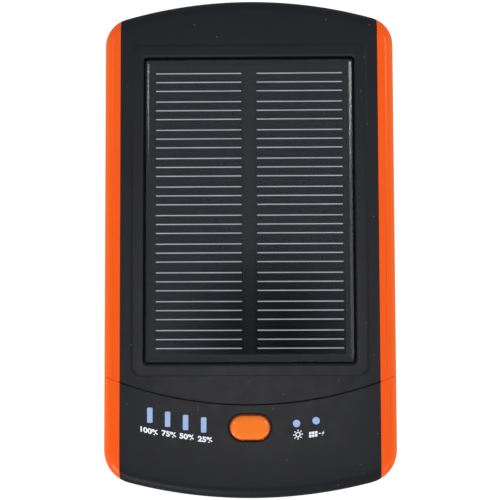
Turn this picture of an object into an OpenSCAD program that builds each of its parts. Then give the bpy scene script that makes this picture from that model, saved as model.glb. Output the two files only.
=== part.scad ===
// Solar phone charger: a flat power bank with a solar panel on its front and a strip of
// controls below the panel. It lies on its back. +Z points up out of the front, +Y towards
// the panel end, and the origin is under the middle of the case. Sizes are in millimetres.

/* [Case] */
// Width across the two rails
body_w = 76; // [76:0.5:80]
// Length along the middle, end to end
body_l = 130.4; // [130.4:0.1:134]
// Thickness of the case, back to front
body_t = 16; // [16:0.5:18]
// Width of the coloured rail along each side
rail_w = 4.3; // [3.6:0.05:4.3]
// Radius of the roll along every outer edge
edge_r = 3.2; // [2.4:0.1:3.2]
// Radius of the bow at the panel end
top_bow_r = 119; // [110:1:140]
// Radius of the bow at the port end
bottom_bow_r = 126; // [120:1:140]
// Corner radius at the panel end
top_corner_r = 7.5; // [5:0.5:8.5]
// Corner radius at the port end
bottom_corner_r = 8.75; // [6:0.25:9]
// Thickness of the covers
wall = 1.6; // [1.4:0.1:1.6]
// Thickness of the rails
rail_wall = 1.4; // [1.2:0.1:1.6]

/* [Seam] */
// Radius of the curved seam between the front cover and the control cover
seam_r = 100; // [95:1:105]
// Distance from the port end to the lowest point of the seam
seam_from_end = 24.15; // [24:0.05:24.6]
// Width of the seam
seam_gap = 0.2; // [0.1:0.05:0.3]

/* [Solar panel] */
// Width of the panel
panel_w = 55; // [54:0.5:56]
// Length of the panel
panel_l = 80.2; // [79:0.1:81]
// Distance of the panel's middle above the case's middle
panel_y = 9.55; // [9:0.05:10.5]
// Gap round the panel
panel_gap = 0.15; // [0.1:0.05:0.25]
// Width of the low raised frame round the panel
frame_w = 61.5; // [60:0.5:63]
// Length of the raised frame
frame_l = 87; // [85:0.5:88]
// Height of the raised frame above the cover
frame_rise = 0.1; // [0.05:0.05:0.3]
// Cell strips in each of the two columns
strips = 10; // [6:1:10]
// Distance from one strip to the next
strip_pitch = 7.5; // [7:0.05:7.55]
// Silver fingers on each strip
fingers = 3; // [2:1:3]
// Distance from one finger to the next on a strip
finger_pitch = 2.33; // [2:0.01:2.35]
// Width of a silver finger
finger_w = 0.25; // [0.2:0.05:0.5]

/* [Controls] */
// Length of the button
button_w = 10.2; // [10:0.1:10.8]
// Width of the button
button_d = 6.1; // [6:0.1:6.4]
// Height of the button's crown above the cover
button_rise = 0.8; // [0.5:0.1:1]
// Distance from the port end to the middle of the button
button_from_end = 18.3; // [17.9:0.05:18.6]
// How far the button travels
button_travel = 0.4; // [0.2:0.1:0.4]
// Width of a charge level window
window_w = 1.5; // [1.3:0.05:1.7]
// Length of a charge level window
window_l = 4; // [3.6:0.05:4.2]
// Diameter of a round status window
status_d = 2; // [1.6:0.05:2.2]

/* [Ports and battery] */
// Distance of each large port from the middle
usb_x = 19; // [18:0.1:19.2]
// Width of the battery
battery_w = 60; // [50:1:60]
// Length of the battery
battery_l = 80; // [60:1:80]
// Thickness of the battery
battery_t = 8; // [6:0.5:8]

/* [Hidden] */
$fn = 64;
// A cut runs this far past the face that it opens
past = 1;
// A feature that grows out of a wall starts this far inside it
bite = 0.2;
// Steps of the rolled edges, in degrees, on the case, the button and the panel
case_step = 22.5;
button_step = 22.5;
panel_step = 30;

// Colours
cover_black = [0.15, 0.15, 0.16];
rail_orange = [0.95, 0.36, 0.13];
button_orange = [0.96, 0.48, 0.18];
window_blue = [0.67, 0.75, 0.87];
resin_tint = [0.2, 0.21, 0.23, 0.5];
cell_grey = [0.18, 0.18, 0.2];
finger_silver = [0.6, 0.6, 0.62];
board_black = [0.12, 0.13, 0.15];
board_green = [0.1, 0.35, 0.2];
tape_white = [0.85, 0.85, 0.82];
moulded_black = [0.1, 0.1, 0.1];
ferrite_grey = [0.25, 0.25, 0.27];
foil_silver = [0.75, 0.76, 0.78];
steel = [0.7, 0.7, 0.72];

// Heights, from the back up
split_z = body_t / 2;
plate_z = body_t - wall;
frame_z = body_t + frame_rise;
resin_t = 1.5;
resin_sink = 0.1;
resin_top_z = frame_z - resin_sink;
board_t = 1;
tape_t = 0.2;
solar_board_z = resin_top_z - resin_t - board_t;
shelf_z = solar_board_z - tape_t;
shelf_t = 1.2;
main_board_drop = 3.3;
main_board_z = plate_z - main_board_drop;
main_board_top_z = main_board_z + board_t;

// Half widths of the covers, outside and inside their side walls
cover_x = body_w / 2 - rail_w;
side_wall = 1.5;
inside_x = cover_x - side_wall;

// The seam is an arc about this point
end_y = -body_l / 2;
seam_cy = end_y + seam_from_end + seam_r;

// The lip of the front cover that runs under the control cover
lip_in = 2.5;
lip_joint = 1;
lip_out = 1.2;
lip_t = 0.9;
lip_gap = 0.1;
lip_half_w = 31;

// The panel's pocket, frame and tape
pocket_wall = 1.8;
pocket_corner_r = 1;
frame_corner_r = 3;
tape_edge = 1;
tape_w = 4;

// The panel's resin and cells
panel_corner_r = 1.2;
resin_roll = 0.9;
cell_t = 0.25;
finger_t = 0.05;
cell_gap = 0.2;
cell_headroom = 0.02;
strip_gap = 0.3;
column_in = 1.6;
column_out = 24.9;
finger_in = 2.05;
finger_out = 24.4;

// The panel's two leads
lead_x = 3;
lead_y = -22;
lead_hole_r = 1.2;
lead_r = 0.5;
lead_end_y = end_y + 26;

// The button, its flange, its hollow and the switch below it
button_y = end_y + button_from_end;
slot_gap = 0.35;
flange_out = 0.8;
flange_t = 0.9;
flange_gap = 0.1;
flange_top_z = plate_z - flange_gap;
hollow = [6.8, 4.3];
hollow_top_z = plate_z + 0.8;
stem_r = 1.2;
switch_size = [6, 3.5, 1.9];
plunger_r = 0.8;
plunger_clearance = 0.05;
plunger_top_z = plate_z + 0.2;
plunger_l = 1.3;
plunger_room = 0.2;

// Windows lie on arcs about the seam's centre, at these angles from the middle
level_r = seam_r + 5.8;
level_first = 6.48;
level_step = 2.55;
levels = 4;
status_r = seam_r + 5.5;
status_first = 6.52;
status_step = 2.75;
guide_t = 1.2;
guide_ends = 1.7;
guide_foot_w = 4.55;
status_foot_w = 3.2;
window_gap = 0.05;
window_corner_r = 0.3;
window_sink = 0.05;
led_size = [2, 1.25, 0.8];

// Ports
usb_size = [13.1, 14, 5.7];
usb_sheet = 0.3;
usb_mouth_y = end_y + 3;
usb_z = main_board_z - usb_size.z / 2;
micro_size = [7.5, 5.4, 2.6];
micro_sheet = 0.3;
micro_mouth_y = end_y + 1;
micro_z = main_board_z - micro_size.z / 2;
port_gap = 0.25;
port_cut_l = 6;
usb_corner_r = 0.5;
micro_chamfer = 0.7;
// Each tongue is a block at the back and a blade: width, length, thickness
usb_block = [12.4, 4, 5];
usb_blade = [11, 9, 1.8];
usb_blade_y = 0.9;
usb_blade_z = 0.4;
contact_size = [1, 7.4, 0.15];
contact_y = 1.6;
contact_x = [-3.5, -1, 1, 3.5];
micro_block = [6, 1.5, 1.4];
micro_blade = [3.8, 3, 0.6];
micro_blade_y = 0.8;
micro_blade_z = 0.1;

// Screws go up through the back cover into bosses in the front and control covers
screw_x = body_w / 2 - 11;
screw_y = body_l / 2 - 8.8;
end_screw_x = body_w / 2 - 9;
end_screw_y = end_y + 15;
screw_places = [
    [screw_x, screw_y], [-screw_x, screw_y],
    [end_screw_x, end_screw_y], [-end_screw_x, end_screw_y]
];
head_r = 1.9;
head_t = 1.3;
head_seat_z = 1.8;
head_cross = [2.2, 0.5, 0.7];
screw_r = 0.95;
screw_l = 8;
screw_gap = 0.2;
pilot_r = 1;
boss_r = 2.4;
boss_gap = 0.1;
back_boss_r = 3;
back_boss_top_z = 3.3;

// Rail tabs, held between the covers
tab_l = 6;
tab_t = 2;
tab_in = 2.15;
tab_gap = 0.1;
side_tabs = [-20, 10, 40];
end_tab = -46;

// Posts that clamp the main board
post_places = [for (side = [-1, 1], y = [7, 21]) [side * 8.5, end_y + y]];
post_r = 1.2;

// The main board: its narrow part between the end screws, and its wide part under the windows
narrow_board = [52.8, 23.7];
narrow_board_y = end_y + 4.8;
wide_board = [57, 10];
wide_board_y = end_y + 18.5;

// Parts on the board
chip_size = [5, 4, 1.5];
chip_y = end_y + 10;
inductor_y = end_y + 18.5;
inductor_w = 7;
inductor_h = 4;
inductor_plate_t = 1;
inductor_winding_r = 2.9;
capacitor_x = 8.5;
capacitor_y = end_y + 13;
capacitor_r = 2.5;
capacitor_h = 5.4;

// Battery, its board, tape and leads
battery_z = wall + tape_t;
battery_end_y = -30;
battery_corner_r = 2;
battery_board_size = [36, 3.3, board_t];
battery_tape_inset = [5, 8];
battery_lead_x = 8;
battery_lead_r = 0.6;
battery_lead_end_y = end_y + 25;

// Points along an arc about c, from angle a0 to a1 in n steps
function arc(c, r, a0, a1, n) =
    [for (i = [0:n]) let (a = a0 + (a1 - a0) * i / n) c + r * [cos(a), sin(a)]];

// Angle from the middle of a bowed end to where its corner starts
function bow_angle(bow_r, corner_r) = asin((body_w / 2 - corner_r) / (bow_r - corner_r));

// Middle of the right-hand corner of an end that bows away from y = 0
function corner_centre(bow_r, corner_r) =
    [body_w / 2 - corner_r,
     body_l / 2 - bow_r + (bow_r - corner_r) * cos(bow_angle(bow_r, corner_r))];

// Right half of one end, from the side round to the middle, inset by i
function half_end(bow_r, corner_r, i) =
    let (a = 90 - bow_angle(bow_r, corner_r))
    concat(
        arc(corner_centre(bow_r, corner_r), corner_r - i, 0, a, 5),
        arc([0, body_l / 2 - bow_r], bow_r - i, a, 90, 5)
    );

function mirrored_x(points) = [for (p = points) [-p.x, p.y]];
function mirrored_y(points) = [for (p = points) [p.x, -p.y]];
function reversed(points) = [for (i = [len(points) - 1:-1:0]) points[i]];

// A point on an arc about the seam's centre, a degrees to the right of the middle
function on_arc(r, a) = [r * sin(a), seam_cy - r * cos(a)];

level_places = [for (i = [0:levels - 1]) on_arc(level_r, -level_first - i * level_step)];
status_places = [for (i = [0:1]) on_arc(status_r, status_first + i * status_step)];

// The case's outline seen from the front, anticlockwise from its right side, shrunk by i
module outline(i) {
    top = half_end(top_bow_r, top_corner_r, i);
    bottom = mirrored_y(half_end(bottom_bow_r, bottom_corner_r, i));
    polygon(concat(top, reversed(mirrored_x(top)), mirrored_x(bottom), reversed(bottom)));
}

// The whole case as one solid with rolled edges, shrunk by inset on every side
module form(inset = 0) {
    roll = edge_r - inset;
    hull()
    for (a = [0:case_step:90]) {
        z = inset + roll * (1 - sin(a));
        translate([0, 0, z])
        linear_extrude(body_t - 2 * z)
        outline(inset + roll * (1 - cos(a)));
    }
}

module rounded_rect(w, l, r) {
    square([w - 2 * r, l], center = true);
    square([w, l - 2 * r], center = true);
    for (x = [-1, 1], y = [-1, 1])
        translate([x * (w / 2 - r), y * (l / 2 - r)])
        circle(r);
}

module stadium(w, d) {
    square([w - d, d], center = true);
    for (x = [-1, 1])
        translate([x * (w - d) / 2, 0])
        circle(d / 2);
}

// Draws its children between two heights
module layer(z0, z1) {
    translate([0, 0, z0])
    linear_extrude(z1 - z0)
    children();
}

// An opening through the end wall for a port of the given size
module end_opening(x, z, size) {
    translate([x, end_y - past, z])
    rotate([-90, 0, 0])
    linear_extrude(port_cut_l)
    rounded_rect(size.x + 2 * port_gap, size.z + 2 * port_gap, usb_corner_r + port_gap);
}

// A straight round wire from a to b
module wire_run(a, b, r) {
    d = b - a;
    translate(a)
    rotate([0, acos(d.z / norm(d)), atan2(d.y, d.x)])
    cylinder(h = norm(d), r = r);
}

// A wire through a list of points, with a slightly fuller bead at each bend
module wire(points, r) {
    bead = 1.03;
    for (i = [1:len(points) - 1])
        wire_run(points[i - 1], points[i], r);
    for (i = [1:len(points) - 2])
        translate(points[i])
        sphere(r * bead);
}

module covers_region() {
    square([2 * cover_x, 2 * body_l], center = true);
}

module rail_region() {
    translate([cover_x, -body_l])
    square([body_w, 2 * body_l]);
}

module above_seam() {
    translate([0, seam_cy])
    circle(seam_r - seam_gap / 2);
}

module below_seam() {
    difference() {
        square(2 * body_l, center = true);
        translate([0, seam_cy])
        circle(seam_r + seam_gap / 2);
    }
}

// The space inside the covers
module cavity() {
    intersection() {
        form(wall);
        translate([-inside_x, -body_l, 0])
        cube([2 * inside_x, 2 * body_l, body_t]);
    }
}

module front_bosses(places) {
    for (p = places)
        translate([p.x, p.y, back_boss_top_z + boss_gap])
        cylinder(h = plate_z + bite - back_boss_top_z - boss_gap, r = boss_r);
}

module pilot_holes(places) {
    for (p = places)
        translate([p.x, p.y, back_boss_top_z])
        cylinder(h = screw_l, r = pilot_r);
}

// Slots in the side walls for the rails' tabs
module tab_slots() {
    for (side = [-1, 1], y = concat(side_tabs, [end_tab]))
        translate([side * (cover_x - side_wall / 2), y, split_z])
        cube([side_wall + 2 * bite, tab_l + tab_gap, tab_t + tab_gap], center = true);
}

module port_openings() {
    for (x = [-usb_x, usb_x])
        end_opening(x, usb_z, usb_size);
    end_opening(0, micro_z, micro_size);
}

// The shelf that carries the panel hangs under the front plate
module panel_shelf() {
    translate([0, panel_y])
    layer(shelf_z - shelf_t, plate_z + bite)
    rounded_rect(panel_w + 2 * pocket_wall, panel_l + 2 * pocket_wall, pocket_corner_r);
}

module panel_pocket() {
    translate([0, panel_y])
    layer(shelf_z, body_t + past)
    rounded_rect(panel_w + 2 * panel_gap, panel_l + 2 * panel_gap, pocket_corner_r);
}

// The low frame that stands round the panel
module panel_frame() {
    translate([0, panel_y])
    layer(body_t - bite, frame_z)
    rounded_rect(frame_w, frame_l, frame_corner_r);
}

// Holes in the shelf for the panel's two leads
module lead_holes() {
    for (x = [-lead_x, lead_x])
        translate([x, lead_y, shelf_z - shelf_t - past])
        cylinder(h = shelf_t + 2 * past, r = lead_hole_r);
}

// A flat ring about the seam's centre
module seam_ring(r_in, r_out) {
    translate([0, seam_cy])
    difference() {
        circle(r_out);
        circle(r_in);
    }
}

// The lip runs under the edge of the control cover and closes the seam
module seam_lip() {
    z = plate_z - lip_gap - lip_t;
    intersection() {
        union() {
            layer(z, z + lip_t)
            seam_ring(seam_r - lip_in, seam_r + lip_out);
            layer(z, plate_z + bite)
            seam_ring(seam_r - lip_in, seam_r - lip_joint);
        }
        translate([-lip_half_w, end_y, 0])
        cube([2 * lip_half_w, body_l / 2, body_t]);
    }
}

module front_cover() {
    color(cover_black)
    difference() {
        union() {
            difference() {
                intersection() {
                    form();
                    layer(split_z, body_t + past)
                    intersection() {
                        covers_region();
                        above_seam();
                    }
                }
                cavity();
            }
            panel_shelf();
            panel_frame();
            seam_lip();
            front_bosses([screw_places[0], screw_places[1]]);
        }
        panel_pocket();
        lead_holes();
        pilot_holes([screw_places[0], screw_places[1]]);
        tab_slots();
    }
}

module window_slots() {
    for (p = level_places)
        translate(p)
        layer(plate_z - past, body_t + past)
        rounded_rect(
            window_w + 2 * window_gap,
            window_l + 2 * window_gap,
            window_corner_r + window_gap
        );
    for (p = status_places)
        translate([p.x, p.y, plate_z - past])
        cylinder(h = wall + 2 * past, r = status_d / 2 + window_gap);
}

module button_slot() {
    translate([0, button_y])
    layer(plate_z - past, body_t + past)
    stadium(button_w + 2 * slot_gap, button_d + 2 * slot_gap);
}

module control_cover() {
    color(cover_black)
    difference() {
        union() {
            difference() {
                intersection() {
                    form();
                    layer(split_z, body_t + past)
                    intersection() {
                        covers_region();
                        below_seam();
                    }
                }
                cavity();
            }
            front_bosses([screw_places[2], screw_places[3]]);
            for (p = post_places)
                translate([p.x, p.y, main_board_top_z])
                cylinder(h = plate_z + bite - main_board_top_z, r = post_r);
        }
        button_slot();
        window_slots();
        port_openings();
        pilot_holes([screw_places[2], screw_places[3]]);
        tab_slots();
    }
}

module back_cover() {
    color(cover_black)
    difference() {
        union() {
            difference() {
                intersection() {
                    form();
                    layer(-past, split_z)
                    covers_region();
                }
                cavity();
            }
            for (p = screw_places)
                translate([p.x, p.y, wall - bite])
                cylinder(h = back_boss_top_z - wall + bite, r = back_boss_r);
            for (p = post_places)
                translate([p.x, p.y, wall - bite])
                cylinder(h = main_board_z - wall + bite, r = post_r);
        }
        for (p = screw_places)
            translate([p.x, p.y, -past]) {
                cylinder(h = head_seat_z + past, r = head_r + screw_gap);
                cylinder(h = back_boss_top_z + 2 * past, r = screw_r + screw_gap);
            }
        port_openings();
        tab_slots();
    }
}

// One rail on the right: the case's outer shape, hollowed from inside, with its tabs
module rail(tabs, above) {
    color(rail_orange) {
        difference() {
            intersection() {
                form();
                layer(-past, body_t + past)
                intersection() {
                    rail_region();
                    if (above) above_seam();
                    else below_seam();
                }
            }
            form(rail_wall);
        }
        for (y = tabs)
            translate([cover_x - tab_in, y - tab_l / 2, split_z - tab_t / 2])
            cube([body_w / 2 - rail_wall + bite - cover_x + tab_in, tab_l, tab_t]);
    }
}

module side_rail_right() {
    rail(side_tabs, true);
}

module side_rail_left() {
    mirror([1, 0, 0])
    rail(side_tabs, true);
}

module end_rail_right() {
    rail([end_tab], false);
}

module end_rail_left() {
    mirror([1, 0, 0])
    rail([end_tab], false);
}

// Draws its children on the right and, mirrored, on the left
module columns() {
    for (side = [0, 1])
        mirror([side, 0, 0])
        children();
}

// Clear resin over the cells, with rolled edges and a shallow space for each column
module panel_resin() {
    z0 = solar_board_z + board_t;
    color(resin_tint)
    difference() {
        hull()
        for (a = [0:panel_step:90]) {
            inset = resin_roll * (1 - cos(a));
            translate([0, panel_y])
            layer(z0, resin_top_z - resin_roll * (1 - sin(a)))
            rounded_rect(panel_w - 2 * inset, panel_l - 2 * inset, panel_corner_r, $fn = 24);
        }
        columns()
            translate([column_in - cell_gap, panel_y - strips * strip_pitch / 2, z0 - past])
            cube([
                column_out - column_in + 2 * cell_gap,
                strips * strip_pitch,
                past + cell_t + finger_t + cell_headroom
            ]);
    }
}

// Middle of strip i, counted from the port end
function strip_y(i) = panel_y + (i - (strips - 1) / 2) * strip_pitch;

module solar_cells() {
    color(cell_grey)
    columns()
        for (i = [0:strips - 1])
            translate([
                column_in,
                strip_y(i) - (strip_pitch - strip_gap) / 2,
                solar_board_z + board_t
            ])
            cube([column_out - column_in, strip_pitch - strip_gap, cell_t]);
}

module cell_fingers() {
    color(finger_silver)
    columns()
        for (i = [0:strips - 1], j = [0:fingers - 1])
            translate([
                finger_in,
                strip_y(i) + (j - (fingers - 1) / 2) * finger_pitch - finger_w / 2,
                solar_board_z + board_t + cell_t
            ])
            cube([finger_out - finger_in, finger_w, finger_t]);
}

module solar_board() {
    color(board_black)
    translate([0, panel_y])
    layer(solar_board_z, solar_board_z + board_t)
    rounded_rect(panel_w, panel_l, panel_corner_r);
}

// A frame of adhesive tape between the panel and its shelf
module panel_tape() {
    color(tape_white)
    translate([0, panel_y])
    layer(shelf_z, solar_board_z)
    difference() {
        square([panel_w - 2 * tape_edge, panel_l - 2 * tape_edge], center = true);
        square(
            [panel_w - 2 * tape_edge - 2 * tape_w, panel_l - 2 * tape_edge - 2 * tape_w],
            center = true
        );
    }
}

module solar_leads() {
    run_z = battery_z + battery_t + lead_r + bite;
    color("firebrick")
    for (x = [-lead_x, lead_x])
        wire([
            [x, lead_y, solar_board_z],
            [x, lead_y, run_z],
            [x, lead_end_y, run_z],
            [x, lead_end_y, main_board_z]
        ], lead_r);
}

// Cap with a crowned top, a flange that keeps it in the cover, and a stem for the switch
module power_button() {
    color(button_orange)
    translate([0, button_y])
    difference() {
        union() {
            layer(flange_top_z - bite, body_t)
            stadium(button_w, button_d);
            hull()
            for (a = [0:button_step:90]) {
                inset = button_rise * (1 - cos(a));
                layer(body_t - bite, body_t + button_rise * sin(a))
                stadium(button_w - 2 * inset, button_d - 2 * inset, $fn = 32);
            }
            layer(flange_top_z - flange_t, flange_top_z)
            stadium(button_w + 2 * flange_out, button_d + 2 * flange_out);
        }
        difference() {
            layer(flange_top_z - flange_t - past, hollow_top_z)
            square(hollow, center = true);
            layer(plunger_top_z, hollow_top_z + past)
            circle(stem_r);
        }
    }
}

module switch_plunger() {
    color("ivory")
    translate([0, button_y])
    layer(plunger_top_z - plunger_l, plunger_top_z)
    circle(plunger_r);
}

// Dome switch on the main board, with a guide hole for its plunger
module switch_body() {
    color(steel)
    translate([0, button_y])
    difference() {
        layer(main_board_top_z, main_board_top_z + switch_size.z)
        square([switch_size.x, switch_size.y], center = true);
        layer(plunger_top_z - plunger_l - button_travel - plunger_room, body_t)
        circle(plunger_r + plunger_clearance);
    }
}

// Foot of a light guide: a band about the seam's centre under a row of windows
module guide_foot(r, w, places) {
    xs = [for (p = places) p.x];
    layer(plate_z - guide_t, plate_z)
    intersection() {
        seam_ring(r - w / 2, r + w / 2);
        translate([min(xs) - guide_ends, end_y])
        square([max(xs) - min(xs) + 2 * guide_ends, body_l / 2]);
    }
}

module level_light_guide() {
    color(window_blue) {
        guide_foot(level_r, guide_foot_w, level_places);
        for (p = level_places)
            translate(p)
            layer(plate_z - bite, body_t - window_sink)
            rounded_rect(window_w, window_l, window_corner_r);
    }
}

module status_light_guide() {
    color(window_blue) {
        guide_foot(status_r, status_foot_w, status_places);
        for (p = status_places)
            translate([p.x, p.y, plate_z - bite])
            cylinder(h = wall + bite - window_sink, r = status_d / 2);
    }
}

// A small light at each place
module leds(places) {
    color("white")
    for (p = places)
        translate([p.x, p.y, main_board_top_z + led_size.z / 2])
        cube(led_size, center = true);
}

module level_leds() {
    leds(level_places);
}

module status_leds() {
    leds(status_places);
}

// The board is wider under the windows than between the end screws
module main_board() {
    color(board_green)
    layer(main_board_z, main_board_top_z)
    union() {
        translate([-narrow_board.x / 2, narrow_board_y])
        square(narrow_board);
        translate([-wide_board.x / 2, wide_board_y])
        square(wide_board);
    }
}

module controller_chips() {
    color(moulded_black)
    for (x = [-usb_x, usb_x])
        translate([x, chip_y, main_board_top_z + chip_size.z / 2])
        cube(chip_size, center = true);
}

// Power inductor under the board: two square plates with a round winding between them
module inductor() {
    bottom_z = main_board_z - inductor_h;
    color(ferrite_grey)
    translate([0, inductor_y]) {
        for (z = [bottom_z, main_board_z - inductor_plate_t])
            layer(z, z + inductor_plate_t)
            rounded_rect(inductor_w, inductor_w, 1.5);
        layer(bottom_z + inductor_plate_t - bite, main_board_z - inductor_plate_t + bite)
        circle(inductor_winding_r);
    }
}

module capacitors() {
    color(steel)
    for (x = [-capacitor_x, capacitor_x])
        translate([x, capacitor_y, main_board_z - capacitor_h])
        cylinder(h = capacitor_h, r = capacitor_r);
}

// Folded sheet shell of a large port, open at its mouth
module usb_shell() {
    inner = [usb_size.x - 2 * usb_sheet, usb_size.z - 2 * usb_sheet];
    color(steel)
    translate([usb_x, usb_mouth_y, usb_z])
    rotate([90, 0, 180])
    mirror([1, 0, 0])
    difference() {
        linear_extrude(usb_size.y)
        rounded_rect(usb_size.x, usb_size.z, usb_corner_r);
        translate([0, 0, -past])
        linear_extrude(usb_size.y - usb_sheet + past)
        square(inner, center = true);
    }
}

module usb_shell_right() {
    usb_shell();
}

module usb_shell_left() {
    mirror([1, 0, 0])
    usb_shell();
}

// Insulator of a large port: a block at the back and a blade that reaches to the mouth
module usb_tongue() {
    block_y = usb_size.y - usb_sheet - usb_block.y;
    color("white")
    translate([usb_x, usb_mouth_y, usb_z]) {
        translate([-usb_block.x / 2, block_y, -usb_block.z / 2])
        cube(usb_block);
        translate([-usb_blade.x / 2, usb_blade_y, usb_blade_z])
        cube(usb_blade);
    }
}

module usb_tongue_right() {
    usb_tongue();
}

module usb_tongue_left() {
    mirror([1, 0, 0])
    usb_tongue();
}

// Four contact strips under each tongue
module usb_contacts() {
    color("gold")
    for (x = [-usb_x, usb_x], dx = contact_x)
        translate([
            x + dx - contact_size.x / 2,
            usb_mouth_y + contact_y,
            usb_z + usb_blade_z - contact_size.z
        ])
        cube(contact_size);
}

// Outline of the small port, narrower at its lower side
module micro_outline(shrink) {
    w = micro_size.x / 2 - shrink;
    h = micro_size.z / 2 - shrink;
    c = micro_chamfer;
    polygon([[-w, h], [w, h], [w, -h + c], [w - c, -h], [-w + c, -h], [-w, -h + c]]);
}

module micro_usb_shell() {
    color(steel)
    translate([0, micro_mouth_y + micro_size.y, micro_z])
    rotate([90, 0, 0])
    difference() {
        linear_extrude(micro_size.y)
        micro_outline(0);
        translate([0, 0, micro_sheet])
        linear_extrude(micro_size.y)
        micro_outline(micro_sheet);
    }
}

module micro_usb_tongue() {
    block_y = micro_size.y - micro_sheet - micro_block.y;
    color(moulded_black)
    translate([0, micro_mouth_y, micro_z]) {
        translate([-micro_block.x / 2, block_y, micro_blade_z - micro_blade.z])
        cube(micro_block);
        translate([-micro_blade.x / 2, micro_blade_y, micro_blade_z])
        cube(micro_blade);
    }
}

// Flat pouch cell
module battery_cell() {
    color(foil_silver)
    translate([0, battery_end_y + battery_l / 2])
    layer(battery_z, battery_z + battery_t)
    rounded_rect(battery_w, battery_l, battery_corner_r);
}

module battery_board() {
    size = battery_board_size;
    color(board_green)
    translate([
        -size.x / 2,
        battery_end_y - size.y,
        battery_z + battery_t / 2 - size.z / 2
    ])
    cube(size);
}

module battery_tape() {
    inset = battery_tape_inset;
    color(tape_white)
    translate([-battery_w / 2 + inset.x, battery_end_y + inset.y, wall])
    cube([battery_w - 2 * inset.x, battery_l - 2 * inset.y, tape_t]);
}

module battery_leads() {
    start = [
        battery_lead_x,
        battery_end_y - battery_board_size.y,
        battery_z + battery_t / 2
    ];
    color("firebrick")
    columns()
        wire([
            start,
            start + [0, -4, 0],
            [start.x, battery_lead_end_y, start.z + 2],
            [start.x, battery_lead_end_y, main_board_z]
        ], battery_lead_r);
}

// A pan-head screw with a cross recess
module housing_screw() {
    difference() {
        union() {
            translate([0, 0, head_seat_z - head_t])
            cylinder(h = head_t, r = head_r);
            translate([0, 0, head_seat_z - bite])
            cylinder(h = screw_l, r = screw_r);
        }
        for (turn = [0, 90])
            rotate(turn)
            translate([-head_cross.x / 2, -head_cross.y / 2, head_seat_z - head_t - past])
            cube([head_cross.x, head_cross.y, past + head_cross.z]);
    }
}

module housing_screws() {
    color(steel)
    for (p = screw_places)
        translate(p)
        housing_screw();
}

front_cover();
control_cover();
back_cover();
side_rail_right();
side_rail_left();
end_rail_right();
end_rail_left();
panel_resin();
solar_cells();
cell_fingers();
solar_board();
panel_tape();
solar_leads();
power_button();
switch_plunger();
switch_body();
level_light_guide();
status_light_guide();
level_leds();
status_leds();
main_board();
controller_chips();
inductor();
capacitors();
usb_shell_right();
usb_shell_left();
usb_tongue_right();
usb_tongue_left();
usb_contacts();
micro_usb_shell();
micro_usb_tongue();
battery_cell();
battery_board();
battery_tape();
battery_leads();
housing_screws();
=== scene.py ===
import math

import bmesh
import bpy
from mathutils import Matrix, Quaternion, Vector

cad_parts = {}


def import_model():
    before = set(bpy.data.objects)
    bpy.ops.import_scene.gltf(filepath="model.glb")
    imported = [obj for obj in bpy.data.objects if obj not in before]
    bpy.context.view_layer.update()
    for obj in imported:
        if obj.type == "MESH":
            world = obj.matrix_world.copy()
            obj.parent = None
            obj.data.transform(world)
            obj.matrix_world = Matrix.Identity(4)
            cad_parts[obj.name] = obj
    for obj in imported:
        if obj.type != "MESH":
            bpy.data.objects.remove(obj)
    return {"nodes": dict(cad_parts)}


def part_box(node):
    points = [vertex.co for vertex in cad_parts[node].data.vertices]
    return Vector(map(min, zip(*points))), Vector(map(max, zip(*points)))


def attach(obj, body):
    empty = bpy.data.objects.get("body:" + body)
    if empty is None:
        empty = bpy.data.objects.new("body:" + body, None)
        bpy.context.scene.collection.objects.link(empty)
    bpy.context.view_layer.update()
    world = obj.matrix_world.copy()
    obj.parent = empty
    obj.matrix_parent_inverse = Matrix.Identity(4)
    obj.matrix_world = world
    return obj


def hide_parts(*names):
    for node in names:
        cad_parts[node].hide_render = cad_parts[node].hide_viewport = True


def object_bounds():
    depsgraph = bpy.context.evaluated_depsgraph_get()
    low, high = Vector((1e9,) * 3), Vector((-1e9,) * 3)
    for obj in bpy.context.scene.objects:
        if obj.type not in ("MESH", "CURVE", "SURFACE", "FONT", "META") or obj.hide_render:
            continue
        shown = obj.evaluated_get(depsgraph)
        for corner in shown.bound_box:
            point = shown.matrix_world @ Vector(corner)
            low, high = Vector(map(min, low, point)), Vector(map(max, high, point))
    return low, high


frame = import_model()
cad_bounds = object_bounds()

# The solar phone charger's looks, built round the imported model. Shapes are made in millimetres
# and scaled to metres at the end. +Z points out of the front and -Y towards the sockets.

MM = 0.001
CASE = "case"
BUTTON = "button"


def box_mm(node):
    """A CAD node's lowest and highest corner, in millimetres."""
    lo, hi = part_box(node)
    return Vector(lo) / MM, Vector(hi) / MM


# ---------------------------------------------------------------- places, from the frame

HALF_W = cad_bounds[1][0] / MM
HALF_L = cad_bounds[1][1] / MM
FRONT_Z = box_mm("control_cover")[1].z
COVER_X = box_mm("front_cover")[1].x
SPLIT_Z = FRONT_Z / 2
REACH = 2 * HALF_L
WALL = 1.6
RAIL_WALL = 1.4
SIDE_WALL = 1.5
PLATE_Z = FRONT_Z - WALL
INSIDE_X = COVER_X - SIDE_WALL
EDGE_R = 3.2
END_Y = -HALF_L

# How far a part reaches into what it grows from, and how far a cutter runs past a face
JOIN = 0.2
THROUGH = 1.0

# The bowed ends and their corners: radius of the bow, radius of the corner
TOP_END = (119.0, 7.5)
BOTTOM_END = (126.0, 8.75)

# The front falls away gently over this distance from its edge, to this slope in degrees
CROWN_W = 14.0
CROWN_SLOPE = 2.6

SEAM_R = 100.0
SEAM_GAP = 0.08
RAIL_SEAM_GAP = 0.02
SEAM_FROM_END = 24.15
SEAM_EDGE = 0.25
SEAM_Y = END_Y + SEAM_FROM_END + SEAM_R

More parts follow.
